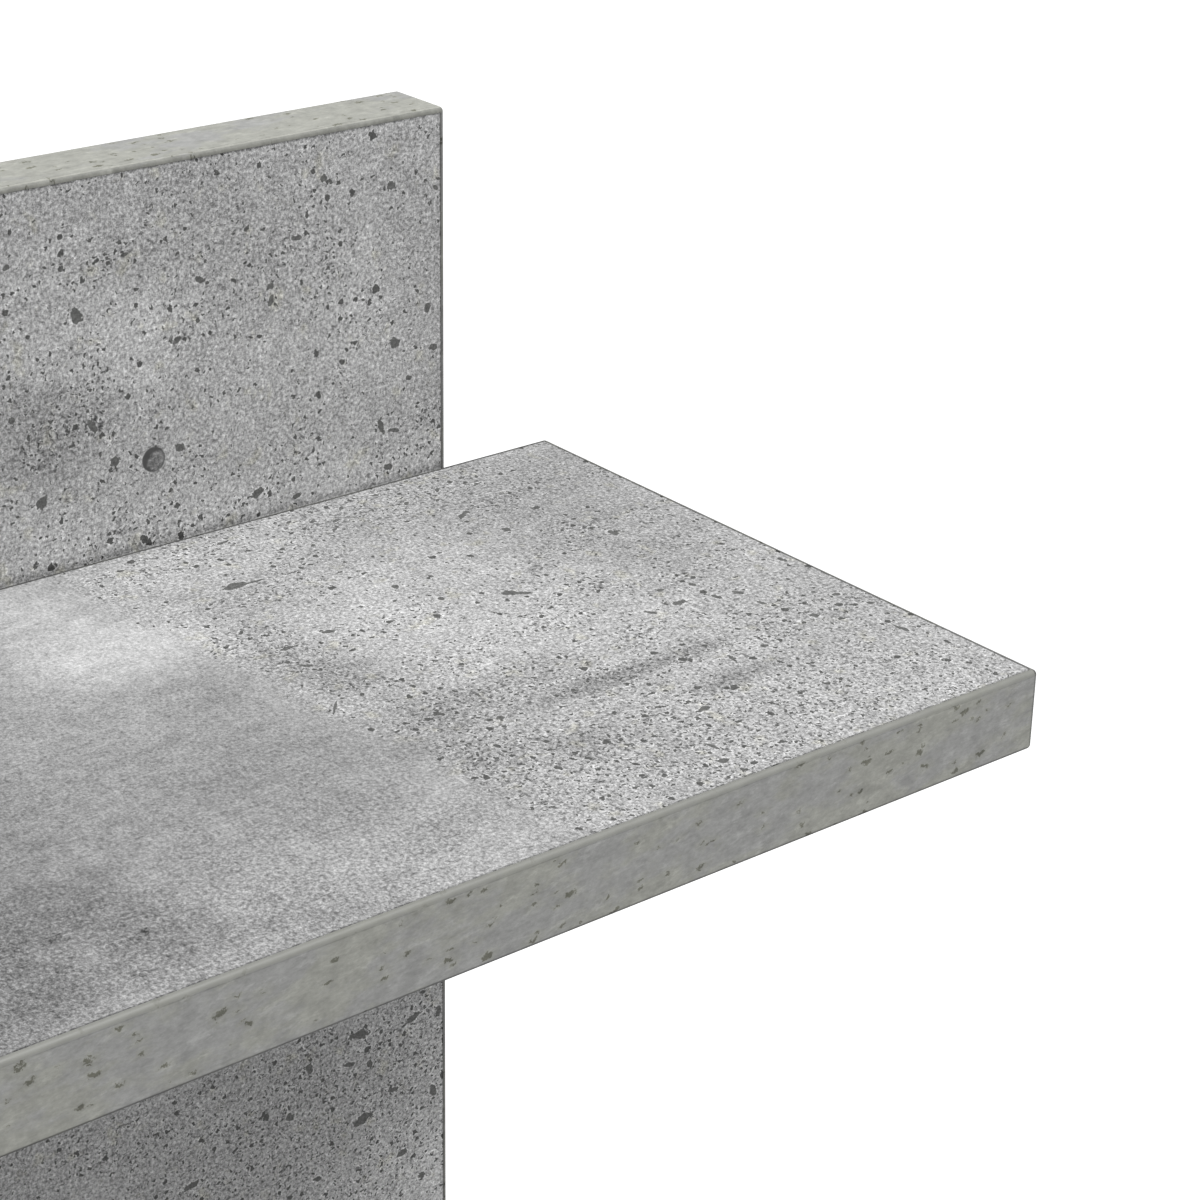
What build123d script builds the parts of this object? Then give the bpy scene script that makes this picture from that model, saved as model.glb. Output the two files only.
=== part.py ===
from build123d import *
import math
import os

# Wall-hung shelf unit: one back panel with two shelf boards butted against its
# front face. All boards are 15 mm faced particle board with 1 mm edge bands.
#
# Frame, millimetres: +X right along the shelves, +Y into the wall, +Z up.
# The origin is the centre of the panel's rear face, which lies on the wall.

# ---- driving dimensions -------------------------------------------------
BOARD_T = 15.0          # particle board, faces included
BAND_T = 1.0            # edge band
EDGE_R = 0.9            # radius milled on every outer edge of a band
GROOVE = 0.12           # tiny bevel each side of the joint of face and band

PANEL_W = 800.0         # back panel, left to right
PANEL_H = 525.0         # back panel, bottom to top
SHELF_L = 850.0         # each shelf, end to end
SHELF_D = 135.0         # each shelf, front to rear
UPSTAND = 72.0          # panel above the upper shelf's top face

# confirmat screws, panel to shelf
SCREW_X = (-360.0, -120.0, 120.0, 360.0)
SCREW_L = 50.0
SCREW_HEAD_R = 4.75
SCREW_COLLAR_R = 3.10
SCREW_CREST_R = 3.15
SCREW_CORE_R = 2.20
SCREW_PITCH = 3.0
SCREW_SINK = 0.3        # head below the panel's rear face
HEX_AF = 4.0

# beech dowels
DOWEL_X = (-240.0, 0.0, 240.0)
DOWEL_R = 4.0
DOWEL_L = 30.0
DOWEL_IN_PANEL = 10.0

# keyhole hanger plates, let into the panel's rear face
HANGER_X = (-300.0, 300.0)
HANGER_Z = 220.0        # centre of the round entry hole
PLATE_W = 56.0
PLATE_H = 32.0
PLATE_T = 1.5
PLATE_SINK = 0.1
ENTRY_R = 5.0
SLOT_R = 2.5
SLOT_RISE = 11.0        # entry centre to the centre of the slot's closed end
POCKET_R = 7.5
POCKET_D = 8.0
PLATE_SCREW_DX = 20.5
PLATE_SCREW_L = 12.0

CLEAR = 0.05            # radial room around screws

# ---- derived ------------------------------------------------------------
FRONT_Y = -BOARD_T                       # panel's front face
SHELF_FRONT_Y = FRONT_Y - SHELF_D
TOP_Z = PANEL_H / 2
UPPER_TOP_Z = TOP_Z - UPSTAND
SHELVES = {
    "upper_shelf": UPPER_TOP_Z - BOARD_T / 2,    # mid height of each board
    "lower_shelf": -(UPPER_TOP_Z - BOARD_T / 2),
}

os.makedirs("parts", exist_ok=True)


def block(x0, x1, y0, y1, z0, z1):
    return Pos((x0 + x1) / 2, (y0 + y1) / 2, (z0 + z1) / 2) * Box(
        x1 - x0, y1 - y0, z1 - z0
    )


def save(shape, name):
    export_step(shape, f"parts/{name}.step")


def banded_board(x0, x1, y0, y1, z0, z1, thin):
    """A board as its core and four bands. thin is the axis of the board's
    thickness. The bands on the two long edges run the full length and cover
    the ends of the bands on the two short edges."""
    lo, hi = [x0, y0, z0], [x1, y1, z1]
    outer = block(x0, x1, y0, y1, z0, z1)
    outer = fillet(outer.edges(), EDGE_R)
    long_axis = 0
    other = ({1, 2} - {thin}).pop()

    c_lo, c_hi = list(lo), list(hi)
    for a in (long_axis, other):
        c_lo[a] += BAND_T
        c_hi[a] -= BAND_T
    core = block(c_lo[0], c_hi[0], c_lo[1], c_hi[1], c_lo[2], c_hi[2])
    core = chamfer(core.edges(), GROOVE)

    bands = {}
    for side, a, at_low in (
        ("first", other, True),
        ("second", other, False),
        ("left", long_axis, True),
        ("right", long_axis, False),
    ):
        b_lo = [v - 1 for v in lo]
        b_hi = [v + 1 for v in hi]
        if at_low:
            b_hi[a] = c_lo[a]
        else:
            b_lo[a] = c_hi[a]
        if a == long_axis:
            b_lo[other], b_hi[other] = c_lo[other], c_hi[other]
        cutter = block(b_lo[0], b_hi[0], b_lo[1], b_hi[1], b_lo[2], b_hi[2])
        bands[side] = outer & cutter
    return core, bands


def screw_profile(grow=0.0, closed_head=True):
    """Half section of a confirmat screw in (radius, depth) order, as points."""
    g = grow
    pts = [
        (0.0, 0.0),
        (SCREW_HEAD_R + g, 0.0),
        (SCREW_HEAD_R + g, 0.5),
        (SCREW_COLLAR_R + g, 3.2),
        (SCREW_COLLAR_R + g, 12.5),
        (SCREW_CORE_R + g, 13.6),
    ]
    d = 14.4
    while d + SCREW_PITCH < SCREW_L - 2.5:
        pts += [
            (SCREW_CORE_R + g, d),
            (SCREW_CREST_R + g, d + 0.75),
            (SCREW_CREST_R + g, d + 0.95),
            (SCREW_CORE_R + g, d + 1.7),
        ]
        d += SCREW_PITCH
    pts += [(SCREW_CORE_R + g, SCREW_L - 2.0), (0.6 + g, SCREW_L + g), (0.0, SCREW_L + g)]
    return pts


def turned(points):
    """Revolves (radius, depth) points about the depth axis; depth runs to -Y
    from y = 0."""
    wire = Polyline([(r, -d) for r, d in points], close=True)
    face = make_face(wire)
    return revolve(face, axis=Axis.Y)


def hex_prism(af, depth):
    tool = extrude(RegularPolygon(af / math.sqrt(3), 6), amount=depth)
    return Rot(90, 0, 0) * tool          # depth now runs to -Y from y = 0


def confirmat():
    body = turned(screw_profile())
    return body - hex_prism(HEX_AF, 3.4)


def confirmat_room():
    """What the screw needs: its own shape and a little room, open at the rear."""
    room = turned(screw_profile(CLEAR))
    return room + Pos(0, SCREW_SINK / 2 + 0.5, 0) * Rot(90, 0, 0) * Cylinder(
        SCREW_HEAD_R + CLEAR, SCREW_SINK + 1.0
    )


def plate_screw_profile(g=0.0):
    pts = [(0.0, 0.0), (3.3 + g, 0.0), (3.3 + g, 0.25), (1.25 + g, 2.3), (1.25 + g, 3.0)]
    d = 3.2
    while d + 1.3 < PLATE_SCREW_L - 1.8:
        pts += [
            (1.25 + g, d),
            (1.75 + g, d + 0.4),
            (1.75 + g, d + 0.5),
            (1.25 + g, d + 0.9),
        ]
        d += 1.3
    pts += [(1.25 + g, PLATE_SCREW_L - 1.6), (0.15 + g, PLATE_SCREW_L + g), (0.0, PLATE_SCREW_L + g)]
    return pts


def cross_recess(arm, width, depth):
    one = Box(2 * arm, depth, width) + Box(width, depth, 2 * arm)
    return Pos(0, -depth / 2, 0) * one


def plate_screw():
    return turned(plate_screw_profile()) - cross_recess(1.7, 0.7, 1.3)


def dowel():
    """Fluted beech dowel with bevelled ends, lying along Y, centred."""
    n = 20
    pts = []
    for i in range(n):
        a = 2 * math.pi * i / n
        b = 2 * math.pi * (i + 0.5) / n
        pts.append((DOWEL_R * math.cos(a), DOWEL_R * math.sin(a)))
        pts.append(((DOWEL_R - 0.35) * math.cos(b), (DOWEL_R - 0.35) * math.sin(b)))
    flutes = extrude(make_face(Polyline(pts, close=True)), amount=DOWEL_L / 2, both=True)
    envelope = chamfer(
        Cylinder(DOWEL_R + 0.01, DOWEL_L).edges().filter_by(GeomType.CIRCLE), 1.0
    )
    return Rot(90, 0, 0) * (flutes & envelope)


def slot_tool(r, rise, depth):
    """Upright round-ended slot, from its lower centre at the origin up by rise,
    cut to -Y from y = 0."""
    flat = Pos(0, rise / 2) * SlotOverall(rise + 2 * r, 2 * r, rotation=90)
    return Rot(90, 0, 0) * extrude(flat, amount=depth)


def hanger_outline(grow, depth):
    flat = RectangleRounded(PLATE_W + 2 * grow, PLATE_H + 2 * grow, 5.0 + grow)
    return Pos(0, 0, SLOT_RISE / 2) * Rot(90, 0, 0) * extrude(flat, amount=depth)


def entry_tool(depth):
    return Rot(90, 0, 0) * extrude(Circle(ENTRY_R), amount=depth)


# ---- cutting tools shared by the boards ---------------------------------
screw_places = [(x, z) for z in SHELVES.values() for x in SCREW_X]
dowel_places = [(x, z) for z in SHELVES.values() for x in DOWEL_X]
dowel_y = FRONT_Y + DOWEL_IN_PANEL - DOWEL_L / 2
dowel_hole = Rot(90, 0, 0) * Cylinder(DOWEL_R + 0.03, DOWEL_L + 2.0)
room = confirmat_room()

# ---- back panel ----------------------------------------------------------
core, bands = banded_board(
    -PANEL_W / 2, PANEL_W / 2, FRONT_Y, 0.0, -PANEL_H / 2, PANEL_H / 2, thin=1
)
for x, z in screw_places:
    core -= Pos(x, -SCREW_SINK, z) * room
for x, z in dowel_places:
    core -= Pos(x, dowel_y, z) * dowel_hole
for x in HANGER_X:
    core -= Pos(x, 0, HANGER_Z) * (
        Pos(0, 1, 0) * hanger_outline(0.25, PLATE_T + PLATE_SINK + 1.0)
    )
    core -= Pos(x, 0, HANGER_Z) * slot_tool(POCKET_R, SLOT_RISE, POCKET_D)
    for s in (-1, 1):
        core -= Pos(x + s * PLATE_SCREW_DX, -PLATE_SINK, HANGER_Z + SLOT_RISE / 2) * turned(
            plate_screw_profile(CLEAR)
        )
save(core, "back_panel_board")
save(bands["first"], "back_panel_bottom_band")
save(bands["second"], "back_panel_top_band")
save(bands["left"], "back_panel_left_band")
save(bands["right"], "back_panel_right_band")

# ---- shelves ---------------------------------------------------------------
for name, zc in SHELVES.items():
    core, bands = banded_board(
        -SHELF_L / 2,
        SHELF_L / 2,
        SHELF_FRONT_Y,
        FRONT_Y,
        zc - BOARD_T / 2,
        zc + BOARD_T / 2,
        thin=2,
    )
    rear = bands["second"]
    for x in SCREW_X:
        tool = Pos(x, -SCREW_SINK, zc) * room
        core -= tool
        rear -= tool
    for x in DOWEL_X:
        tool = Pos(x, dowel_y, zc) * dowel_hole
        core -= tool
        rear -= tool
    save(core, f"{name}_board")
    save(bands["first"], f"{name}_front_band")
    save(rear, f"{name}_rear_band")
    save(bands["left"], f"{name}_left_band")
    save(bands["right"], f"{name}_right_band")

    screw = confirmat()
    save(
        Compound([Pos(x, -SCREW_SINK, zc) * screw for x in SCREW_X]),
        f"{name}_screws",
    )
    peg = dowel()
    save(Compound([Pos(x, dowel_y, zc) * peg for x in DOWEL_X]), f"{name}_dowels")

# ---- hanger plates ---------------------------------------------------------
plate = hanger_outline(0.0, PLATE_T)
plate -= entry_tool(PLATE_T)
plate -= slot_tool(SLOT_R, SLOT_RISE, PLATE_T)
for s in (-1, 1):
    plate -= Pos(s * PLATE_SCREW_DX, 0, SLOT_RISE / 2) * turned(plate_screw_profile(CLEAR))
for x, side in zip(HANGER_X, ("left", "right")):
    save(Pos(x, -PLATE_SINK, HANGER_Z) * plate, f"{side}_hanger_plate")

small = plate_screw()
save(
    Compound(
        [
            Pos(x + s * PLATE_SCREW_DX, -PLATE_SINK, HANGER_Z + SLOT_RISE / 2) * small
            for x in HANGER_X
            for s in (-1, 1)
        ]
    ),
    "hanger_plate_screws",
)
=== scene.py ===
import math

import bpy
from mathutils import Matrix, Vector


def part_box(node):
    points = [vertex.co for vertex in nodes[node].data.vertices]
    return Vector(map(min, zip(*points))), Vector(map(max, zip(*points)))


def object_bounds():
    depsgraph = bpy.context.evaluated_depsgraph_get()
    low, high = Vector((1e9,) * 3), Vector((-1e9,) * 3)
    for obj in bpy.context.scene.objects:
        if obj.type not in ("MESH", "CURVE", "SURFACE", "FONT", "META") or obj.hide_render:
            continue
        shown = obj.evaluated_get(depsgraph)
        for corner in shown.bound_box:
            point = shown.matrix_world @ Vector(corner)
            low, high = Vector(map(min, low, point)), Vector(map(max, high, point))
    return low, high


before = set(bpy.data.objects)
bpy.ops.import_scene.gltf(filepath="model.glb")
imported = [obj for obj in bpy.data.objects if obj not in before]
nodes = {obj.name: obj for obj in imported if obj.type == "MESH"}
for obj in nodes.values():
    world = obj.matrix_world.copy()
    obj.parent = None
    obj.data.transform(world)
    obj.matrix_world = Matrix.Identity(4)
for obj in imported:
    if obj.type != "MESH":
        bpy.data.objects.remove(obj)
cad_box = [list(map(float, v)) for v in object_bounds()]
scene = bpy.context.scene

# ---------------------------------------------------------------------------
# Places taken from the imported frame, in millimetres
# ---------------------------------------------------------------------------


def box_mm(name):
    lo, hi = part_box(name)
    return [v * 1000 for v in lo], [v * 1000 for v in hi]


UP_LO, UP_HI = box_mm("upper_shelf_board")
UPB_LO, UPB_HI = box_mm("upper_shelf_right_band")
PAN_LO, PAN_HI = box_mm("back_panel_board")
PANB_LO, PANB_HI = box_mm("back_panel_right_band")
SHELF_RIGHT = UPB_HI[0]      # right end of the shelves
SHELF_TOP = UP_HI[2]         # upper shelf's top face
SHELF_BOTTOM = UP_LO[2]
LOWER_TOP = box_mm("lower_shelf_board")[1][2]
JOINT_Y = PAN_LO[1]          # panel's front face
PANEL_RIGHT = PANB_HI[0]
PANEL_TOP = box_mm("back_panel_top_band")[1][2]
FRONT_Y = box_mm("upper_shelf_front_band")[0][1]


# ---------------------------------------------------------------------------
# A small writer for node trees
# ---------------------------------------------------------------------------


class Tree:
    def __init__(self, tree):
        self.t = tree
        self.n = 0

    def node(self, kind, **props):
        nd = self.t.nodes.new(kind)
        self.n += 1
        nd.location = (200 * (self.n % 40), -220 * (self.n // 40))
        for k, v in props.items():
            setattr(nd, k, v)
        return nd

    def put(self, socket, value):
        if isinstance(value, bpy.types.NodeSocket):
            self.t.links.new(value, socket)
        elif value is not None:
            socket.default_value = value

    def math(self, op, a, b=None, c=None, clamp=False):
        nd = self.node("ShaderNodeMath", operation=op, use_clamp=clamp)
        for s, v in zip(nd.inputs, (a, b, c)):
            self.put(s, v)
        return nd.outputs[0]

    def add(self, a, b):
        return self.math("ADD", a, b)

    def sub(self, a, b):
        return self.math("SUBTRACT", a, b)

    def mul(self, a, b):
        return self.math("MULTIPLY", a, b)

    def mad(self, a, b, c):
        return self.math("MULTIPLY_ADD", a, b, c)

    def vec(self, op, a, b=None, scale=None):
        nd = self.node("ShaderNodeVectorMath", operation=op)
        self.put(nd.inputs[0], a)
        if b is not None:
            self.put(nd.inputs[1], b)
        if scale is not None:
            self.put(nd.inputs["Scale"], scale)
        return nd.outputs["Value" if op in ("LENGTH", "DOT_PRODUCT") else "Vector"]

    def ramp(self, v, lo, hi, to_lo=0.0, to_hi=1.0, smooth=True):
        nd = self.node(
            "ShaderNodeMapRange",
            interpolation_type="SMOOTHSTEP" if smooth else "LINEAR",
            clamp=True,
        )
        self.put(nd.inputs["Value"], v)
        self.put(nd.inputs["From Min"], lo)
        self.put(nd.inputs["From Max"], hi)
        self.put(nd.inputs["To Min"], to_lo)
        self.put(nd.inputs["To Max"], to_hi)
        return nd.outputs["Result"]

    flat = False    # True where one flat face is all that shows

    def noise(self, p, scale, detail=0.0, rough=0.5, colour=False, distortion=0.0):
        nd = self.node("ShaderNodeTexNoise", noise_dimensions="2D" if self.flat else "3D")
        self.put(nd.inputs["Vector"], p)
        nd.inputs["Scale"].default_value = scale
        nd.inputs["Detail"].default_value = detail
        nd.inputs["Roughness"].default_value = rough
        nd.inputs["Distortion"].default_value = distortion
        return nd.outputs["Color" if colour else "Fac"]

    def voronoi(self, p, scale, feature="F1", random=1.0):
        nd = self.node("ShaderNodeTexVoronoi", voronoi_dimensions="2D" if self.flat else "3D", feature=feature)
        self.put(nd.inputs["Vector"], p)
        nd.inputs["Scale"].default_value = scale
        nd.inputs["Randomness"].default_value = random
        return nd.outputs["Distance"], nd.outputs["Color"]

    def xyz(self, p):
        nd = self.node("ShaderNodeSeparateXYZ")
        self.put(nd.inputs[0], p)
        return nd.outputs

    def combine(self, x, y, z):
        nd = self.node("ShaderNodeCombineXYZ")
        for s, v in zip(nd.inputs, (x, y, z)):
            self.put(s, v)
        return nd.outputs[0]

    def map(self, p, loc=(0, 0, 0), rot=(0, 0, 0), scale=(1, 1, 1)):
        nd = self.node("ShaderNodeMapping", vector_type="POINT")
        self.put(nd.inputs["Vector"], p)
        nd.inputs["Location"].default_value = loc
        nd.inputs["Rotation"].default_value = rot
        nd.inputs["Scale"].default_value = scale
        return nd.outputs[0]

    def drawn(self, p, angle, k):
        """p for a pattern drawn out 1/k times along a direction of the face."""
        return self.map(self.map(p, rot=(0, 0, -angle)), scale=(k, 1.0, 1.0))

    def mix(self, fac, a, b):
        nd = self.node("ShaderNodeMix", data_type="FLOAT")
        self.put(nd.inputs["Factor"], fac)
        self.put(nd.inputs[2], a)
        self.put(nd.inputs[3], b)
        return nd.outputs[0]

    def mixc(self, fac, a, b, blend="MIX"):
        nd = self.node("ShaderNodeMix", data_type="RGBA", blend_type=blend)
        self.put(nd.inputs["Factor"], fac)
        self.put(nd.inputs[6], a)
        self.put(nd.inputs[7], b)
        return nd.outputs[2]


def new_material(name):
    m = bpy.data.materials.new(name)
    m.use_nodes = True
    m.node_tree.nodes.clear()
    t = Tree(m.node_tree)
    out = t.node("ShaderNodeOutputMaterial")
    bsdf = t.node("ShaderNodeBsdfPrincipled")
    m.node_tree.links.new(bsdf.outputs[0], out.inputs["Surface"])
    coord = t.node("ShaderNodeTexCoord")
    p = t.vec("SCALE", coord.outputs["Object"], scale=1000.0)   # millimetres
    return m, t, bsdf, p


def mark_group():
    """One elliptical spot on a face. In: the place on the face, its centre, its half
    sizes and turn. Out: its scaled distance, 0 at the centre and 1 on the rim, or the least so far."""
    g = bpy.data.node_groups.new("spot", "ShaderNodeTree")
    for n, kind in (
        ("Place", "NodeSocketVector"),
        ("Centre", "NodeSocketVector"),
        ("Turn", "NodeSocketFloat"),
        ("Per size", "NodeSocketVector"),
        ("Wobble", "NodeSocketFloat"),
        ("So far", "NodeSocketFloat"),
    ):
        g.interface.new_socket(n, in_out="INPUT", socket_type=kind)
    g.interface.new_socket("Spot", in_out="OUTPUT", socket_type="NodeSocketFloat")
    t = Tree(g)
    i = t.node("NodeGroupInput").outputs
    o = t.node("NodeGroupOutput").inputs
    d = t.vec("SUBTRACT", i["Place"], i["Centre"])
    r = t.node("ShaderNodeVectorRotate", rotation_type="Z_AXIS")
    t.put(r.inputs["Vector"], d)
    t.put(r.inputs["Angle"], i["Turn"])
    d = t.vec("MULTIPLY", r.outputs[0], i["Per size"])
    d = t.vec("LENGTH", d)
    d = t.add(d, i["Wobble"])
    # the least of the scaled distances so far
    t.put(o["Spot"], t.math("MINIMUM", d, i["So far"]))
    return g


SPOT = mark_group()


def spots(t, place, wobble, marks):
    """marks: (u, v, full length, full width, turn in degrees). Returns the least
    scaled distance: 1 on a spot's rim, 0 at its centre."""
    far = 9.0
    for u, v, length, width, turn in marks:
        g = t.node("ShaderNodeGroup")
        g.node_tree = SPOT
        t.put(g.inputs["Place"], place)
        g.inputs["Centre"].default_value = (u, v, 0)
        g.inputs["Turn"].default_value = math.radians(-turn)
        g.inputs["Per size"].default_value = (2 / length, 2 / width, 0)
        t.put(g.inputs["Wobble"], wobble)
        t.put(g.inputs["So far"], far)
        far = g.outputs[0]
    return far


# ---------------------------------------------------------------------------
# Concrete-effect face of the boards
# ---------------------------------------------------------------------------


def patch(t, place, wob, u, v, ru, rv, soft=0.5):
    """A broad soft patch, 1 in its middle."""
    d = t.vec("MULTIPLY", t.vec("SUBTRACT", place, (u, v, 0)), (1 / ru, 1 / rv, 0))
    d = t.add(t.vec("LENGTH", d), wob)
    return t.ramp(d, 1.0 - soft, 1.0 + soft, 1.0, 0.0)


def beside(t, place, wander, u0, v0, u1, v1, soft, sway):
    """1 to the left of a wandering line through two places, or below a level one
    that runs to the right."""
    du, dv = u1 - u0, v1 - v0
    k = math.hypot(du, dv) * (1 if dv > 0 else -1)
    d = t.vec("DOT_PRODUCT", t.vec("SUBTRACT", place, (u0, v0, 0)), (dv / k, -du / k, 0))
    return t.ramp(t.mad(wander, sway, d), -soft, soft, 1.0, 0.0)


def concrete(name, axes, gain=1.0, tone=0.60, seed=(0, 0), marks=(), faint=(), crater=None,
             regions=(), smooth=(), sides=(), clusters=(), edges=None, lie=0.3, deep=0.285, open_tone=0.0,
             grainy=(), corners=(), turned=None, far=(), drift=0.10):
    """axes: which two row axes the face lies in. tone is the print's lightness,
    regions are (u, v, ru, rv, soft, change of tone), a few of them painted light,
    smooth lists the patches with no pits and a finer grain, sides the lines with
    such a field on their left, clusters those with more pits. edges is the face's
    outline (u0, u1, v0, v1), where the band's glue line shows. lie is the way the
    trails of pits run, grainy lists patches with a stronger grain (u, v, ru, rv,
    soft, more), corners the places across the face of inside corners, along which
    a thin strip of painted shade lies. turned is (axis, middle, side): the board's
    other face, on that side of its middle, has another part of the print. far lists
    the lines left of which the print is left to chance, with broad clouds as strong as drift."""
    m, t, bsdf, p = new_material(name)
    t.flat = True
    s = t.xyz(p)
    behind = None
    if turned:
        axis, middle, side = turned
        behind = t.math("GREATER_THAN", t.mul(t.sub(s[axis], middle), side), 0.0)
        place = t.combine(t.mad(behind, -2900.0, s[axes[0]]), s[axes[1]], 0.0)
    else:
        place = t.combine(s[axes[0]], s[axes[1]], 0.0)
    # well away from the textures' own origin, where their octaves line up
    q = t.vec("ADD", place, (seed[0] + 1700.0, seed[1] + 2900.0, 0.0))

    # wandering of the patches' outlines, and of the pits'
    wob = t.mul(t.sub(t.noise(q, 0.050, 4.0, 0.6), 0.5), 1.5)
    warp = t.vec("SUBTRACT", t.noise(q, 0.75, 2.0, 0.65, colour=True), (0.5, 0.5, 0.5))
    q_warp = t.vec("ADD", q, t.vec("SCALE", warp, scale=1.5))

    # how open the print is: 1 pitted, 0 smooth
    rough = None
    for u, v, ru, rv, soft in smooth:
        k = t.ramp(patch(t, place, wob, u, v, ru, rv, soft), 0.0, 1.0, 1.0, 0.0, smooth=False)
        rough = k if rough is None else t.mul(rough, k)
    for u0, v0, u1, v1, soft, sway in sides:
        k = t.ramp(beside(t, place, wob, u0, v0, u1, v1, soft, sway), 0.0, 1.0, 1.0, 0.0, smooth=False)
        rough = k if rough is None else t.mul(rough, k)
    chance = t.ramp(t.noise(q, 0.014, 3.0, 0.55), 0.40, 0.52, 0.10, 1.0)
    away = 1.0
    for n, (u0, v0, u1, v1) in enumerate(far):
        k = beside(t, place, wob, u0, v0, u1, v1, 18.0, 12.0)
        away = t.math("MAXIMUM", away, k) if n else k
    if rough is None:
        rough = t.mix(away, 1.0, chance)
    else:
        rough = t.mix(away, rough, chance)
    trail = t.drawn(q_warp, lie, 0.36)
    dense = t.ramp(t.noise(trail, 0.095, 4.0, 0.66), 0.47, 0.70)
    for u, v, ru, rv, soft, amount in clusters:
        k = patch(t, place, wob, u, v, ru, rv, soft)
        dense = t.math("ADD", dense, t.mul(k, amount), clamp=True)
    dense = t.mul(dense, rough)

    # tone: clouds, mottle, faint trowel streaks, grain
    cloud = t.sub(t.noise(q, 0.030, 4.0, 0.62), 0.5)
    mottle = t.sub(t.noise(q, 0.30, 5.0, 0.68), 0.5)
    streak = t.sub(t.noise(t.drawn(q, lie, 0.30), 0.28, 3.0, 0.65), 0.5)
    grain = t.sub(t.noise(q, 1.55, 3.0, 0.85), 0.5)
    speck = t.noise(q_warp, 1.05, 1.0, 0.55)

    v = t.mad(cloud, 0.13, tone)
    v = t.mad(mottle, 0.20, v)
    v = t.mad(streak, 0.09, v)
    v = t.mad(rough, open_tone, v)
    broad = t.sub(t.noise(q, 0.0095, 3.0, 0.55), 0.5)
    v = t.add(v, t.mul(t.mul(broad, away), drift * 2.2))
    v = t.add(v, t.mul(t.mul(t.sub(chance, 0.55), away), 0.030))
    for u, w, ru, rv, soft, change in regions:
        v = t.mad(patch(t, place, wob, u, w, ru, rv, soft), change, v)
    coarse = rough
    for u, w, ru, rv, soft, more in grainy:
        coarse = t.mad(patch(t, place, wob, u, w, ru, rv, soft), more, coarse)
    v = t.add(v, t.mul(grain, t.ramp(coarse, 0.0, 1.0, 0.56, 0.95, smooth=False)))
    dark_speck = t.mul(t.ramp(speck, 0.58, 0.69), t.ramp(dense, 0.0, 1.0, 0.060, 0.19, smooth=False))
    light_speck = t.mul(t.ramp(speck, 0.41, 0.31), t.ramp(coarse, 0.0, 1.0, 0.01, 0.050, smooth=False))
    v = t.add(t.sub(v, dark_speck), light_speck)

    # pits: three sizes of random spots, more of them where dense is high
    pit = None
    halo = None
    for cell, r_lo, r_hi, p_thin, p_dense, off in (
        (1.35, 0.16, 0.36, 0.14, 0.66, 11.0),
        (2.9, 0.28, 0.62, 0.12, 0.55, 37.0),
        (7.5, 0.50, 0.90, 0.03, 0.18, 71.0),
    ):
        d, rand = t.voronoi(t.vec("ADD", q_warp, (off, off * 1.7, 0.0)), 1.0 / cell, random=0.9)
        r3 = t.node("ShaderNodeSeparateColor")
        t.put(r3.inputs[0], rand)
        share = t.mul(t.ramp(dense, 0.0, 1.0, p_thin, p_dense, smooth=False), t.ramp(rough, 0.15, 0.75))
        there = t.math("LESS_THAN", r3.outputs[0], share)
        r = t.mad(t.mul(r3.outputs[1], r3.outputs[1]), r_hi - r_lo, r_lo)
        e = t.sub(t.mul(d, cell), r)
        k = t.mul(t.ramp(e, 0.08, -0.06), there)
        h = t.mul(t.ramp(e, 0.36, 0.06), there)
        pit = k if pit is None else t.math("MAXIMUM", pit, k)
        halo = h if halo is None else t.math("MAXIMUM", halo, h)

    ragged = t.mul(t.xyz(warp)[2], 1.5)
    mark = 0.0
    if marks:
        d = spots(t, place, ragged, marks)
        mark = t.ramp(d, 1.08, 0.90)
        halo = t.math("MAXIMUM", halo, t.ramp(d, 1.45, 1.10))
    if faint:
        d = spots(t, place, ragged, faint)
        soft = t.ramp(d, 1.25, 0.1)
        v = t.sub(v, t.mul(soft, t.mad(t.sub(speck, 0.5), 0.5, 0.075)))

    v = t.mad(halo, t.ramp(dense, 0.0, 1.0, 0.045, 0.105, smooth=False), v)
    inside = t.mad(grain, 0.30, t.mad(mark, 0.050, deep))
    v_pit = t.math("MINIMUM", inside, t.sub(v, 0.10))
    pit = t.math("MAXIMUM", pit, mark)
    v = t.mix(t.mul(pit, 0.93), v, v_pit)

    if crater:
        # a round blister: dark down its left side, paler bowl, thin ring
        u, w, r = crater
        d = t.mul(t.vec("LENGTH", t.vec("SUBTRACT", place, (u, w, 0))), 1 / r)
        d = t.mad(ragged, 0.06, d)
        d2 = t.vec("LENGTH", t.vec("SUBTRACT", place, (u + 0.36 * r, w - 0.26 * r, 0)))
        d2 = t.mad(ragged, 0.20, t.mul(d2, 1 / r))
        inner = t.ramp(d, 1.04, 0.94)
        crescent = t.mul(inner, t.ramp(d2, 0.66, 1.08))
        ring = t.mul(t.ramp(d, 1.08, 1.0), t.ramp(d, 0.84, 0.96))
        bowl = t.mad(t.sub(speck, 0.5), 0.50, t.mad(grain, 0.45, 0.435))
        v = t.mix(inner, v, bowl)
        v = t.mix(t.mul(crescent, 0.90), v, 0.27)
        v = t.mix(t.mul(ring, 0.50), v, 0.30)

    if edges:
        # glue line against the edge band, a little uneven
        u0, u1, w0, w1 = edges
        du = t.math("MINIMUM", t.sub(s[axes[0]], u0), t.sub(u1, s[axes[0]]))
        dw = t.math("MINIMUM", t.sub(s[axes[1]], w0), t.sub(w1, s[axes[1]]))
        d = t.mad(t.sub(speck, 0.5), 0.35, t.math("MINIMUM", du, dw))
        v = t.sub(v, t.mul(t.ramp(d, 0.42, 0.12), 0.16))

    # painted shade: a darker strip a few millimetres wide just above each inside corner, its width wandering with the
    # mottle, not on the board's other face
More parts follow.
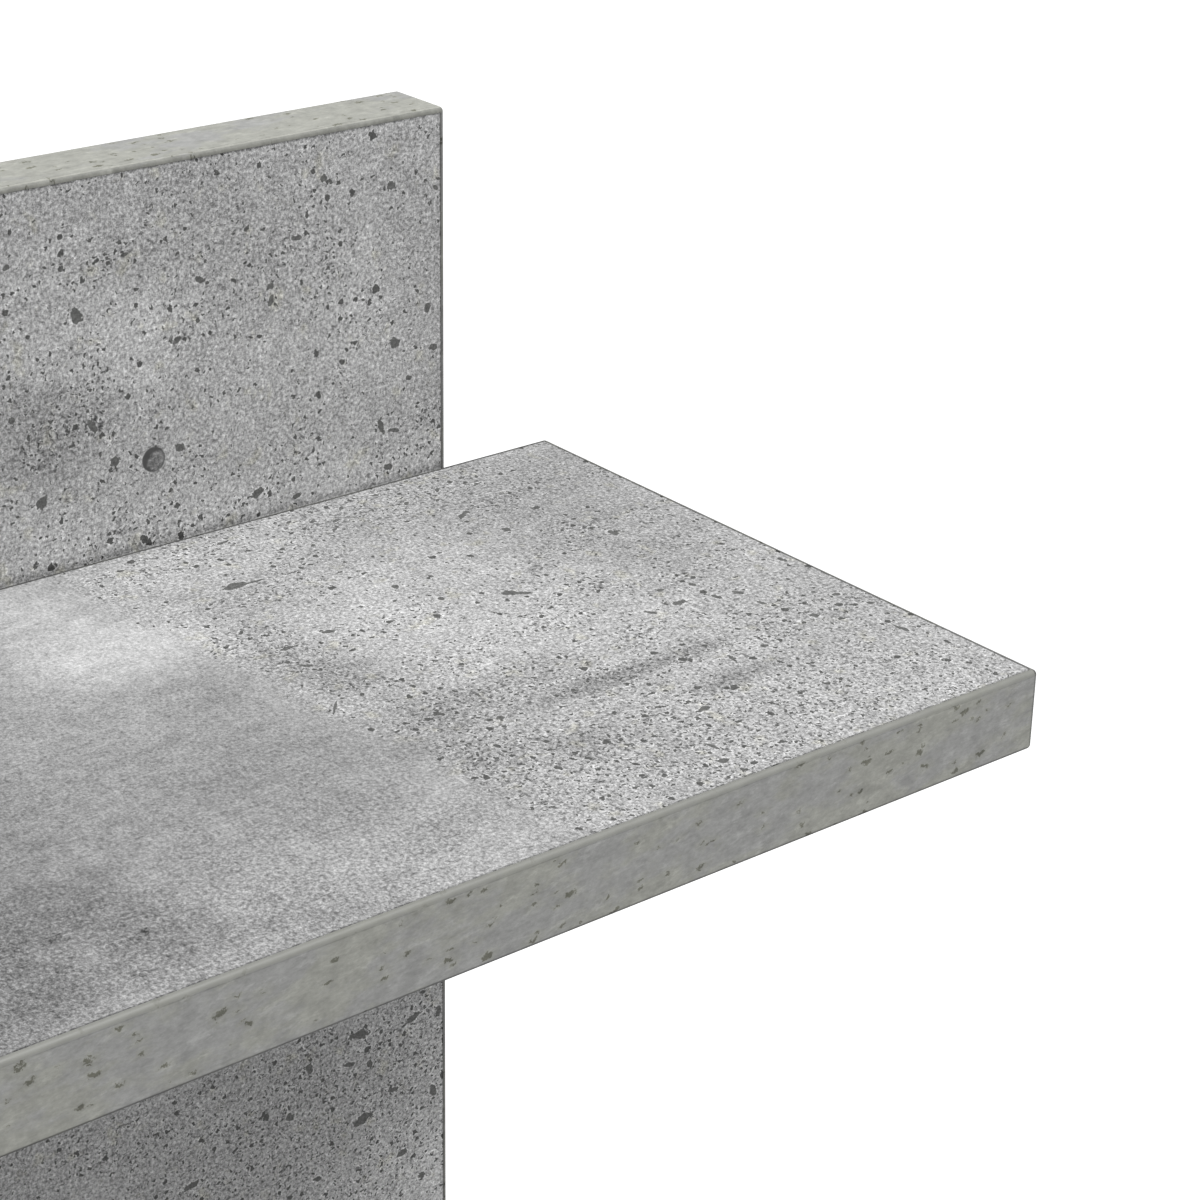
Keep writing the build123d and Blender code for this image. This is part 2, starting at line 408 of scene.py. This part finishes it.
    for where in corners:
        up = t.sub(s[axes[1]], where)
        painted_corner_shade = t.mul(t.ramp(up, -0.2, 0.0), t.ramp(t.mad(mottle, 2.5, up), 2.7, -0.2))
        if behind:
            painted_corner_shade = t.mul(painted_corner_shade, t.sub(1.0, behind))
        v = t.mad(t.mul(painted_corner_shade, painted_corner_shade), -0.085, v)

    v = t.math("MAXIMUM", v, 0.10)
    albedo = t.mul(t.math("POWER", v, 2.2), gain)

    # colour: neutral, with faint warm stains and greener pits
    warm = t.ramp(t.noise(q, 0.17, 3.0, 0.6), 0.60, 0.76)
    tint = t.mixc(t.mul(warm, rough), (1.0, 1.0, 1.0, 1), (1.02, 1.01, 0.93, 1))
    tint = t.mixc(t.mul(pit, 0.6), tint, (0.99, 1.0, 0.96, 1))
    colour = t.vec("MULTIPLY", t.combine(albedo, albedo, albedo), tint)
    t.put(bsdf.inputs["Base Color"], colour)
    t.put(bsdf.inputs["Roughness"], t.math("ADD", t.mad(grain, 0.22, 0.56), t.mul(pit, 0.16), clamp=True))
    bsdf.inputs["Specular IOR Level"].default_value = 0.30
    bump = t.node("ShaderNodeBump")
    bump.inputs["Strength"].default_value = 0.5
    bump.inputs["Distance"].default_value = 0.001
    t.put(bump.inputs["Height"], t.mul(grain, 0.045))
    t.put(bsdf.inputs["Normal"], bump.outputs[0])
    return m


# ---------------------------------------------------------------------------
# Olive-grey edge band
# ---------------------------------------------------------------------------


def band(name, axes=(0, 2), gain=1.0, tone=0.54, seed=(0, 0), dashes=1.0, olive=0.0, lines=(), rim=None,
         tilt=0.10, shaded=(), ends=()):
    """axes: the row axis that the band runs along, and the one across its face.
    olive moves the balance between its olive and its grey fields. lines are
    (place across, half width, depth): faint dark lines along the band. rim is
    (place across, change of tone): the rounding, with a plainer, greener print
    and its tone changed as painted shade. shaded are (place across, half width,
    change): strips of painted shade, and ends the same along the band."""
    m, t, bsdf, p = new_material(name)
    t.flat = True
    s = t.xyz(p)
    across = s[axes[1]]
    q = t.vec("ADD", t.combine(s[axes[0]], across, 0.0), (seed[0] + 1700.0, seed[1] + 2900.0, 0.0))

    field = t.noise(t.drawn(q, 0.1, 0.45), 0.085, 5.0, 0.62)
    brush = t.sub(t.noise(t.drawn(q, tilt, 0.38), 0.70, 5.0, 0.68), 0.5)
    fibre = t.sub(t.noise(t.drawn(q, tilt * 0.5, 0.45), 1.9, 4.0, 0.75), 0.5)
    mottle = t.sub(t.noise(q, 0.30, 4.0, 0.6), 0.5)

    v = t.mad(t.sub(field, 0.5), 0.05, tone)
    v = t.mad(mottle, 0.11, v)
    v = t.mad(brush, 0.12, v)
    v = t.mad(fibre, 0.13, v)

    # paler and darker strokes of the roller, drawn up to the right
    fleck = t.ramp(t.noise(t.drawn(q, tilt * 2.0, 0.42), 0.52, 5.0, 0.66), 0.55, 0.70)
    shade = t.ramp(t.noise(t.drawn(q, tilt, 0.42), 0.45, 4.0, 0.64), 0.56, 0.74)
    v = t.mad(fleck, 0.042, v)
    v = t.mad(shade, -0.032, v)

    # dark olive dashes, lens-shaped, broken up and a little tilted
    warp = t.vec("SUBTRACT", t.noise(q, 0.80, 3.0, 0.7, colour=True), (0.5, 0.5, 0.5))
    bent = t.drawn(t.vec("ADD", q, t.vec("SCALE", warp, scale=2.2)), tilt, 0.45)
    near = t.ramp(t.noise(t.drawn(q, tilt, 0.5), 0.11, 2.0, 0.5), 0.36, 0.60, 0.35, 1.0)
    dash = None
    stain = None
    for cell, r_lo, r_hi, share, off in ((1.8, 0.10, 0.22, 0.22, 3.0), (3.1, 0.18, 0.46, 0.62, 23.0)):
        d, rand = t.voronoi(t.vec("ADD", bent, (off, off * 1.3, 0.0)), 1.0 / cell, random=0.95)
        r3 = t.node("ShaderNodeSeparateColor")
        t.put(r3.inputs[0], rand)
        there = t.math("LESS_THAN", r3.outputs[0], t.mul(near, share))
        r = t.mad(r3.outputs[1], r_hi - r_lo, r_lo)
        e = t.sub(t.mul(d, cell), r)
        k = t.mul(t.ramp(e, 0.10, -0.12), there)
        h = t.mul(t.ramp(e, 1.2, 0.0), there)
        dash = k if dash is None else t.math("MAXIMUM", dash, k)
        stain = h if stain is None else t.math("MAXIMUM", stain, h)
    dash = t.mul(dash, 0.95 * dashes)

    for where, half, depth in lines:
        k = t.ramp(t.math("ABSOLUTE", t.sub(across, where)), half, half * 0.15)
        v = t.sub(v, t.mul(k, depth))
    olive_field = t.ramp(field, 0.45 - olive, 0.58 - olive)
    olive_field = t.math("MAXIMUM", olive_field, t.mul(stain, 0.7))
    # the rounding: plainer, greener print, with its tone set as painted shade
    if rim:
        where, change = rim
        strip = t.ramp(across, where - 0.12, where + 0.12)
        v = t.mix(strip, v, t.mad(brush, 0.06, tone + change))
        dash = t.mul(dash, t.mad(strip, -0.8, 1.0))
        olive_field = t.math("MAXIMUM", olive_field, t.mul(strip, 0.75))
    # painted shade: darker strips across the band and at its ends
    for where, half, change in shaded:
        v = t.mad(t.ramp(t.math("ABSOLUTE", t.sub(across, where)), half, half * 0.55), change, v)
    for where, half, change in ends:
        v = t.mad(t.ramp(t.math("ABSOLUTE", t.sub(s[axes[0]], where)), half, half * 0.55), change, v)
    v = t.math("MAXIMUM", t.mix(dash, v, t.sub(v, 0.175)), 0.10)

    tint = t.mixc(olive_field, (0.990, 0.996, 0.972, 1), (1.0, 1.008, 0.914, 1))
    tint = t.mixc(dash, tint, (1.0, 1.0, 0.80, 1))
    albedo = t.mul(t.math("POWER", v, 2.2), gain)
    t.put(bsdf.inputs["Base Color"], t.vec("MULTIPLY", t.combine(albedo, albedo, albedo), tint))
    t.put(bsdf.inputs["Roughness"], t.math("ADD", t.mad(brush, 0.3, 0.50), t.mul(dash, 0.1), clamp=True))
    bsdf.inputs["Specular IOR Level"].default_value = 0.34
    bump = t.node("ShaderNodeBump")
    bump.inputs["Strength"].default_value = 0.4
    bump.inputs["Distance"].default_value = 0.001
    t.put(bump.inputs["Height"], t.mul(fibre, 0.030))
    t.put(bsdf.inputs["Normal"], bump.outputs[0])
    return m


# ---------------------------------------------------------------------------
# Metal and beech
# ---------------------------------------------------------------------------


def zinc(name, brushed_axis=0):
    m, t, bsdf, p = new_material(name)
    sc = [1.0, 1.0, 1.0]
    sc[brushed_axis] = 0.08
    lines = t.noise(t.map(p, scale=tuple(sc)), 6.0, 4.0, 0.6)
    blotch = t.noise(p, 0.35, 3.0, 0.6)
    v = t.mad(t.sub(blotch, 0.5), 0.22, 0.60)
    v = t.mad(t.sub(lines, 0.5), 0.10, v)
    t.put(bsdf.inputs["Base Color"], t.combine(t.mul(v, 1.0), t.mul(v, 1.0), t.mul(v, 1.03)))
    bsdf.inputs["Metallic"].default_value = 1.0
    t.put(bsdf.inputs["Roughness"], t.math("ADD", t.mad(t.sub(lines, 0.5), 0.35, 0.36), t.mul(blotch, 0.08), clamp=True))
    bump = t.node("ShaderNodeBump")
    bump.inputs["Strength"].default_value = 0.25
    bump.inputs["Distance"].default_value = 0.001
    t.put(bump.inputs["Height"], t.mul(lines, 0.02))
    t.put(bsdf.inputs["Normal"], bump.outputs[0])
    return m


def beech(name):
    m, t, bsdf, p = new_material(name)
    along = t.map(p, scale=(1.0, 0.06, 1.0))
    grain = t.noise(along, 1.6, 4.0, 0.6)
    fleck = t.ramp(t.noise(t.map(p, scale=(1.0, 0.3, 1.0)), 3.2, 2.0, 0.6), 0.58, 0.70)
    c = t.mixc(grain, (0.42, 0.25, 0.13, 1), (0.66, 0.46, 0.28, 1))
    c = t.mixc(t.mul(fleck, 0.6), c, (0.30, 0.16, 0.08, 1))
    t.put(bsdf.inputs["Base Color"], c)
    t.put(bsdf.inputs["Roughness"], t.mad(grain, 0.2, 0.5))
    bump = t.node("ShaderNodeBump")
    bump.inputs["Strength"].default_value = 0.4
    bump.inputs["Distance"].default_value = 0.001
    t.put(bump.inputs["Height"], t.mul(grain, 0.05))
    t.put(bsdf.inputs["Normal"], bump.outputs[0])
    return m


def dress(node, material):
    o = nodes[node]
    if not o.material_slots:
        o.data.materials.append(material)
    for slot in o.material_slots:
        slot.material = material


# ---------------------------------------------------------------------------
# The print on each board, placed from its right end
# ---------------------------------------------------------------------------

R = SHELF_RIGHT
J = JOINT_Y
TOP_MARKS = [
    # from the right end, from the joint line: (x, y, length, width, turn)
    (R - 89.6, J - 24.4, 5.6, 2.5, -4), (R - 86.0, J - 24.8, 5.0, 0.8, -3),
    (R - 96.7, J - 51.7, 3.4, 1.0, 5), (R - 87.3, J - 50.3, 2.1, 1.4, -10),
    (R - 98.3, J - 59.0, 3.2, 1.0, -50), (R - 50.8, J - 57.2, 4.6, 1.2, -38), (R - 52.0, J - 56.0, 2.8, 2.2, -30),
    (R - 37.5, J - 22.3, 3.2, 1.4, 38), (R - 35.2, J - 32.8, 1.7, 1.8, 60),
    (R - 20.0, J - 45.8, 1.5, 2.8, 8), (R - 67.0, J - 41.7, 1.4, 1.9, -20),
    (R - 63.6, J - 50.7, 1.3, 1.8, 10), (R - 30.0, J - 71.2, 1.6, 1.1, 30),
    (R - 30.8, J - 77.3, 3.0, 1.6, 6), (R - 23.8, J - 72.8, 1.0, 1.8, 0),
    (R - 23.8, J - 79.5, 1.2, 2.4, 10), (R - 19.6, J - 80.3, 1.3, 2.2, 25),
    (R - 19.2, J - 86.2, 1.0, 1.8, 15), (R - 37.6, J - 77.6, 1.0, 2.8, 35),
    (R - 15.4, J - 95.8, 1.7, 1.9, 0), (R - 6.0, J - 91.4, 1.6, 1.2, -20),
    (R - 3.6, J - 98.0, 1.5, 1.3, 0), (R - 3.2, J - 74.0, 1.1, 2.2, 10),
    (R - 38.7, J - 100.4, 0.8, 3.2, -12), (R - 30.8, J - 99.8, 1.2, 1.3, 0),
    (R - 6.8, J - 109.0, 0.9, 4.2, 8), (R - 55.3, J - 112.0, 2.5, 1.4, 8),
    (R - 64.8, J - 127.8, 2.0, 1.4, 10), (R - 63.0, J - 123.0, 0.8, 3.0, 8),
    (R - 103.2, J - 75.3, 4.8, 0.45, 50), (R - 83.8, J - 94.5, 1.4, 1.2, 0),
    # the trail of small pits beside the panel
    (R - 81.0, J - 6.6, 2.6, 0.9, 12), (R - 79.2, J - 5.2, 1.4, 0.8, 0), (R - 65.6, J - 5.6, 1.6, 0.9, 30),
    (R - 62.0, J - 8.0, 1.5, 0.9, 35), (R - 60.7, J - 13.6, 1.3, 0.8, 40), (R - 58.2, J - 10.3, 1.8, 0.9, 30),
    (R - 54.0, J - 6.0, 1.3, 0.9, 30), (R - 45.2, J - 4.4, 1.5, 0.9, 0), (R - 42.5, J - 11.2, 1.9, 1.0, 45),
    (R - 37.0, J - 13.6, 1.6, 0.8, 50), (R - 33.8, J - 9.2, 1.5, 1.0, 50), (R - 29.5, J - 7.4, 1.8, 1.0, 55),
    (R - 26.2, J - 11.4, 1.4, 0.9, 40), (R - 23.7, J - 8.3, 1.7, 0.8, 50), (R - 68.2, J - 17.5, 1.3, 0.8, 30),
]
TOP_FAINT = [
    (R - 41.4, J - 50.3, 6.5, 4.0, 0), (R - 36.8, J - 63.0, 6.0, 3.5, 20),
    (R - 52.0, J - 56.0, 7.0, 4.0, -30), (R - 99.0, J - 57.0, 6.0, 8.0, 0),
    (R - 176.0, J - 112.0, 3.4, 2.6, 10), (R - 168.0, J - 107.0, 2.8, 2.0, 0), (R - 179.0, J - 120.0, 4.6, 3.0, 15),
    (R - 165.0, J - 118.0, 3.4, 2.4, 0), (R - 171.0, J - 127.0, 4.0, 2.4, -10), (R - 158.0, J - 125.0, 2.6, 1.8, 0),
]
PANEL_MARKS = [
    (PANEL_RIGHT - 80.0, PANEL_TOP - 25.3, 2.2, 3.0, 25), (PANEL_RIGHT - 73.7, PANEL_TOP - 53.8, 2.2, 1.7, 0),
    (PANEL_RIGHT - 60.0, PANEL_TOP - 54.3, 2.4, 1.4, -15), (PANEL_RIGHT - 88.8, PANEL_TOP - 58.2, 3.3, 2.0, 15),
    (PANEL_RIGHT - 43.8, PANEL_TOP - 67.3, 3.2, 1.7, 18), (PANEL_RIGHT - 34.8, PANEL_TOP - 69.9, 2.0, 1.0, 15),
    (PANEL_RIGHT - 13.8, PANEL_TOP - 69.0, 2.0, 1.3, -20), (PANEL_RIGHT - 15.4, PANEL_TOP - 60.2, 1.3, 3.6, 12),
    (PANEL_RIGHT - 12.4, PANEL_TOP - 61.8, 2.8, 1.0, -15), (PANEL_RIGHT - 12.0, PANEL_TOP - 44.0, 2.5, 2.2, 10),
    (PANEL_RIGHT - 4.3, PANEL_TOP - 38.5, 1.4, 2.1, 10), (PANEL_RIGHT - 3.0, PANEL_TOP - 46.8, 1.9, 1.4, -20),
    (PANEL_RIGHT - 8.8, PANEL_TOP - 51.8, 1.7, 1.0, 0), (PANEL_RIGHT - 12.3, PANEL_TOP - 13.1, 2.2, 1.6, 20),
    (PANEL_RIGHT - 2.2, PANEL_TOP - 15.2, 1.3, 1.0, -30), (PANEL_RIGHT - 27.5, PANEL_TOP - 9.3, 1.6, 1.4, 30),
    (PANEL_RIGHT - 39.6, PANEL_TOP - 27.6, 1.9, 1.3, 0), (PANEL_RIGHT - 39.6, PANEL_TOP - 30.2, 1.0, 2.1, -25),
    (PANEL_RIGHT - 54.5, PANEL_TOP - 23.3, 1.9, 1.3, -20), (PANEL_RIGHT - 33.8, PANEL_TOP - 19.4, 2.2, 1.0, 0),
    (PANEL_RIGHT - 92.8, PANEL_TOP - 14.0, 1.3, 1.4, 0), (PANEL_RIGHT - 59.7, PANEL_TOP - 33.7, 1.5, 1.2, 30),
    (PANEL_RIGHT - 93.8, PANEL_TOP - 41.5, 1.5, 1.2, 0), (PANEL_RIGHT - 78.0, PANEL_TOP - 46.0, 1.4, 3.2, 20),
]
PANEL_LOW_MARKS = [
    (PANEL_RIGHT - 22.5, 68.0, 5.2, 2.2, -8), (PANEL_RIGHT - 9.2, 66.8, 4.4, 1.5, 25),
    (PANEL_RIGHT - 35.5, 64.7, 1.6, 1.9, 20), (PANEL_RIGHT - 20.3, 59.8, 1.4, 2.2, 10),
    (PANEL_RIGHT - 25.3, 61.7, 2.5, 1.2, -10), (PANEL_RIGHT - 22.2, 46.7, 5.4, 2.4, 12),
    (PANEL_RIGHT - 3.8, 46.3, 2.0, 2.8, 15), (PANEL_RIGHT - 64.5, 48.2, 3.6, 1.5, 8),
    (PANEL_RIGHT - 14.2, 50.9, 2.6, 1.2, -12), (PANEL_RIGHT - 40.5, 54.7, 1.6, 2.2, 30),
    (PANEL_RIGHT - 2.2, 66.0, 1.4, 2.6, 5), (PANEL_RIGHT - 12.0, 34.0, 2.8, 1.6, 20),
    (PANEL_RIGHT - 34.0, 36.5, 2.2, 1.4, -20), (PANEL_RIGHT - 7.0, 26.0, 2.0, 1.5, 10),
]
PANEL_FAINT = [
    (PANEL_RIGHT - 86.2, PANEL_TOP - 48.2, 3.4, 2.4, 10), (PANEL_RIGHT - 64.8, PANEL_TOP - 8.2, 2.6, 2.4, 0),
    (PANEL_RIGHT - 51.3, PANEL_TOP - 9.5, 2.6, 3.0, 0), (PANEL_RIGHT - 19.3, PANEL_TOP - 64.5, 2.2, 2.2, 0),
    (PANEL_RIGHT - 77.0, PANEL_TOP - 46.0, 5.0, 9.0, 0), (PANEL_RIGHT - 73.0, PANEL_TOP - 66.0, 2.4, 8.0, -8),
    (PANEL_RIGHT - 14.5, PANEL_TOP - 13.4, 4.0, 2.0, 15), (PANEL_RIGHT - 60.0, PANEL_TOP - 34.0, 9.0, 5.0, 20),
]

TOP_GAIN = 1.0
FRONT_GAIN = 1.0

panel_face = concrete(
    "concrete_decor_panel", axes=(0, 2), gain=FRONT_GAIN, tone=0.610, seed=(13, 41),
    edges=(PAN_LO[0], PAN_HI[0], PAN_LO[2], PAN_HI[2]),
    marks=PANEL_MARKS + PANEL_LOW_MARKS, faint=PANEL_FAINT,
    crater=(PANEL_RIGHT - 65.7, PANEL_TOP - 55.3, 2.35), lie=0.65,
    corners=(SHELF_TOP, LOWER_TOP), turned=(1, (PAN_LO[1] + PAN_HI[1]) / 2, 1.0),
    far=[(PANEL_RIGHT - 135, 200, PANEL_RIGHT - 135, 0), (PANEL_RIGHT - 100, -8, PANEL_RIGHT, -8)],
    regions=[
        (PANEL_RIGHT - 88, PANEL_TOP - 44, 14, 8, 0.6, -0.045),
        (PANEL_RIGHT - 30, PANEL_TOP - 50, 26, 20, 0.6, 0.034),
        # painted light: lighter lower right corner below the shelf, where the key light gets in past the shelf's end
        (PANEL_RIGHT - 2, 12, 34, 26, 0.7, 0.072),
        (PANEL_RIGHT - 45, 52, 26, 18, 0.7, -0.04),
        (PANEL_RIGHT - 72, PANEL_TOP - 32, 16, 8, 0.7, 0.045),
        (PANEL_RIGHT - 60, PANEL_TOP - 6, 50, 5, 0.8, -0.010),
        (PANEL_RIGHT - 22, PANEL_TOP - 60, 14, 5, 0.7, -0.015),
        (PANEL_RIGHT - 88, PANEL_TOP - 63, 18, 8, 0.8, 0.035),
        # painted light: lighter strip just above the shelf, offsetting the shade at the joint
        (PANEL_RIGHT - 45, PANEL_TOP - 68, 46, 6, 0.8, 0.045),
    ],
    clusters=[
        (PANEL_RIGHT - 82, PANEL_TOP - 44, 14, 7, 0.5, 0.35),
        (PANEL_RIGHT - 33, PANEL_TOP - 20, 7, 4, 0.5, 0.5),
        (PANEL_RIGHT - 60, PANEL_TOP - 18, 14, 7, 0.5, 0.3),
        (PANEL_RIGHT - 84, PANEL_TOP - 70, 8, 4, 0.5, 0.5),
        (PANEL_RIGHT - 20, 55, 40, 30, 0.6, 0.95),
    ],
)
upper_face = concrete(
    "concrete_decor_upper_shelf", axes=(0, 1), gain=TOP_GAIN, tone=0.595, seed=(3, 57),
    edges=(UP_LO[0], UP_HI[0], UP_LO[1], UP_HI[1]),
    marks=TOP_MARKS, faint=TOP_FAINT,
    sides=[(R - 110, J - 34, R - 98, J - 130, 3.5, 7.0)], open_tone=0.012,
    grainy=[(R - 150, J - 128, 62, 24, 0.6, 0.70)], lie=0.12,
    turned=(2, (UP_LO[2] + UP_HI[2]) / 2, -1.0), far=[(R - 232, 0, R - 232, -100)],
    regions=[
        (R - 152, J - 82, 52, 48, 0.5, -0.064),       # greyer smooth field
        (R - 92, J - 92, 9, 26, 0.6, -0.035),
        (R - 120, J - 36, 15, 12, 0.7, 0.145),        # pale clouds on it
        (R - 130, J - 14, 16, 8, 0.7, 0.06),
        (R - 66, J - 62, 34, 24, 0.6, 0.042),         # pale middle
        (R - 75, J - 85, 18, 5, 0.6, -0.05),
        (R - 55, J - 94, 22, 2.6, 0.6, -0.105),       # dark streak
        (R - 41, J - 106, 8, 3, 0.7, -0.10),
        (R - 80, J - 109, 8, 5, 0.7, -0.07),
        (R - 97, J - 58, 6, 15, 0.6, -0.05),
        (R - 180, J - 118, 24, 18, 0.7, -0.092),
        (R - 186, J - 86, 30, 26, 0.8, -0.028),
        (R - 188, J - 132, 42, 12, 0.7, -0.045),
        (R - 30, J - 14, 44, 11, 0.7, -0.036),
        (R - 20, J - 40, 16, 24, 0.7, -0.058),
        (R - 84, J - 12, 20, 7, 0.7, 0.035),
    ],
    clusters=[
        (R - 55, J - 8, 36, 8, 0.5, 0.85),
        (R - 75, J - 85, 18, 6, 0.5, 0.6),
        (R - 55, J - 95, 22, 4, 0.5, 0.6),
        (R - 80, J - 112, 16, 12, 0.5, 0.9),
        (R - 97, J - 55, 6, 22, 0.5, 0.55),
        (R - 92, J - 95, 9, 20, 0.5, 0.45),
        (R - 60, J - 122, 44, 14, 0.5, 0.75),
        (R - 178, J - 125, 18, 12, 0.6, 0.8),
        (R - 28, J - 98, 34, 44, 0.6, 0.36),
    ],
)
lower_face = concrete(
    "concrete_decor_lower_shelf", axes=(0, 1), gain=TOP_GAIN, tone=0.60, seed=(211, 90),
    edges=(UP_LO[0], UP_HI[0], UP_LO[1], UP_HI[1]), turned=(2, LOWER_TOP - 7.5, -1.0), lie=0.12,
)
# painted shade: darker strips at both rounded ends of the shelf front bands
SHADED_ENDS = [(SHELF_RIGHT, 1.1, -0.18), (-SHELF_RIGHT, 1.1, -0.18)]
# painted shade on the shelf front bands: a darker strip along the bottom rounding, and the top rounding's darker tone
# (rim)
band_front = band("edge_band_shelf_front", tone=0.526, seed=(7, 1),
                  lines=[(SHELF_TOP - 0.92, 0.20, 0.05)], rim=(SHELF_TOP - 0.80, -0.045),
                  shaded=[(SHELF_BOTTOM, 0.85, -0.24)], ends=SHADED_ENDS)
band_front_low = band("edge_band_lower_front", tone=0.526, seed=(131, 1),
                      lines=[(LOWER_TOP - 0.92, 0.20, 0.05)], rim=(LOWER_TOP - 0.80, -0.045),
                      shaded=[(LOWER_TOP - (SHELF_TOP - SHELF_BOTTOM), 0.85, -0.24)], ends=SHADED_ENDS)
# painted shade: darker strips along the rear band's top rounding, in the groove against the panel
band_rear = band("edge_band_shelf_rear", tone=0.526, seed=(47, 5), shaded=[(SHELF_TOP, 1.4, -0.22), (LOWER_TOP, 1.4, -0.22)])
# painted shade: darker strips along the end bands' top roundings
band_side = band("edge_band_shelf_end", axes=(1, 2), tone=0.526, seed=(27, 9),
                 shaded=[(SHELF_TOP, 1.3, -0.10), (LOWER_TOP, 1.3, -0.10)])
# painted light: the same band print as the other bands, but a lighter tone (0.591 against 0.526) because the top
# faces the light; painted shade on its front rounding (shaded)
band_top = band("edge_band_panel_top", axes=(0, 1), tone=0.591, seed=(90, 21), dashes=1.05, olive=0.10,
                lines=[(JOINT_Y + 1.02, 0.20, 0.04)], tilt=0.04, shaded=[(JOINT_Y, 0.55, -0.13)])
band_bottom = band("edge_band_panel_bottom", axes=(0, 1), tone=0.526, seed=(31, 73))
# painted shade: a darker strip along the side bands' front rounding
band_panel_side = band("edge_band_panel_side", axes=(2, 1), tone=0.526, seed=(64, 91), shaded=[(JOINT_Y, 1.3, -0.11)])

dress("back_panel_board", panel_face)
dress("upper_shelf_board", upper_face)
dress("lower_shelf_board", lower_face)
for shelf in ("upper", "lower"):
    dress(f"{shelf}_shelf_front_band", band_front if shelf == "upper" else band_front_low)
    dress(f"{shelf}_shelf_rear_band", band_rear)
    dress(f"{shelf}_shelf_left_band", band_side)
    dress(f"{shelf}_shelf_right_band", band_side)
dress("back_panel_top_band", band_top)
dress("back_panel_bottom_band", band_bottom)
dress("back_panel_left_band", band_panel_side)
dress("back_panel_right_band", band_panel_side)
screw_zinc = zinc("zinc_screw", 1)
plate_zinc = zinc("zinc_plate", 0)
raw_beech = beech("raw_beech")
for n in ("upper_shelf_screws", "lower_shelf_screws", "hanger_plate_screws"):
    dress(n, screw_zinc)
for n in ("left_hanger_plate", "right_hanger_plate"):
    dress(n, plate_zinc)
for n in ("upper_shelf_dowels", "lower_shelf_dowels"):
    dress(n, raw_beech)

# ---------------------------------------------------------------------------
# Studio: pale floor, soft light, camera
# ---------------------------------------------------------------------------

floor_z = cad_box[0][2] - 3.0
bpy.ops.mesh.primitive_grid_add(x_subdivisions=8, y_subdivisions=8, size=80, location=(0, 0, floor_z))
floor = bpy.context.object
floor.name = "studio_floor"
fm, ft, fb, fp = new_material("studio_floor")
n = ft.sub(ft.noise(fp, 0.01, 2.0, 0.5), 0.5)
c = ft.mad(n, 0.01, 0.86)
ft.put(fb.inputs["Base Color"], ft.combine(c, c, c))
fb.inputs["Roughness"].default_value = 0.9
# lit from beneath like a light table: fill from below, and pale behind the object
fb.inputs["Emission Color"].default_value = (1, 1, 1, 1)
ft.put(fb.inputs["Emission Strength"], ft.mad(ft.node("ShaderNodeLightPath").outputs["Is Camera Ray"], 0.44, 0.38))
floor.data.materials.append(fm)

scene.view_settings.view_transform = "Standard"
scene.view_settings.look = "None"
scene.view_settings.exposure = 0.0
scene.view_settings.gamma = 1.0

world = bpy.data.worlds.new("studio")
scene.world = world
world.use_nodes = True
wt = Tree(world.node_tree)
world.node_tree.nodes.clear()
wo = wt.node("ShaderNodeOutputWorld")
lp = wt.node("ShaderNodeLightPath")
seen = wt.node("ShaderNodeBackground")
seen.inputs["Color"].default_value = (1, 1, 1, 1)
seen.inputs["Strength"].default_value = 1.05
lit = wt.node("ShaderNodeBackground")
lit.inputs["Color"].default_value = (1, 1, 1, 1)
lit.inputs["Strength"].default_value = 0.445
mixw = wt.node("ShaderNodeMixShader")
world.node_tree.links.new(lp.outputs["Is Camera Ray"], mixw.inputs[0])
world.node_tree.links.new(lit.outputs[0], mixw.inputs[1])
world.node_tree.links.new(seen.outputs[0], mixw.inputs[2])
world.node_tree.links.new(mixw.outputs[0], wo.inputs["Surface"])


def softbox(name, location, target, size, power):
    light = bpy.data.lights.new(name, "AREA")
    light.shape = "RECTANGLE"
    light.size, light.size_y = size
    light.energy = power
    o = bpy.data.objects.new(name, light)
    o.location = location
    o.rotation_mode = "QUATERNION"
    o.rotation_quaternion = (Vector(target) - Vector(location)).to_track_quat("-Z", "Y")
    scene.collection.objects.link(o)
    return o


softbox("key_softbox", (0.75, -1.26, 3.0), (0.15, -0.05, 0.1), (1.3, 1.1), 113)

cam_data = bpy.data.cameras.new("camera")
cam_data.sensor_width = 36.0
cam_data.lens = 2955.4 / 1200 * 36.0
cam_data.clip_start = 0.01
cam_data.clip_end = 100
cam = bpy.data.objects.new("camera", cam_data)
scene.collection.objects.link(cam)
yaw, pitch, roll = (math.radians(a) for a in (39.73, 24.22, 1.21))
fwd = Vector((math.sin(yaw) * math.cos(pitch), math.cos(yaw) * math.cos(pitch), -math.sin(pitch)))
right = Vector((math.cos(yaw), -math.sin(yaw), 0.0))
up = right.cross(fwd)
right, up = right * math.cos(roll) + up * math.sin(roll), up * math.cos(roll) - right * math.sin(roll)
cam.matrix_world = Matrix(
    (
        (right.x, up.x, -fwd.x, 0.0784),
        (right.y, up.y, -fwd.y, -0.4503),
        (right.z, up.z, -fwd.z, 0.4053),
        (0, 0, 0, 1),
    )
)
scene.camera = cam
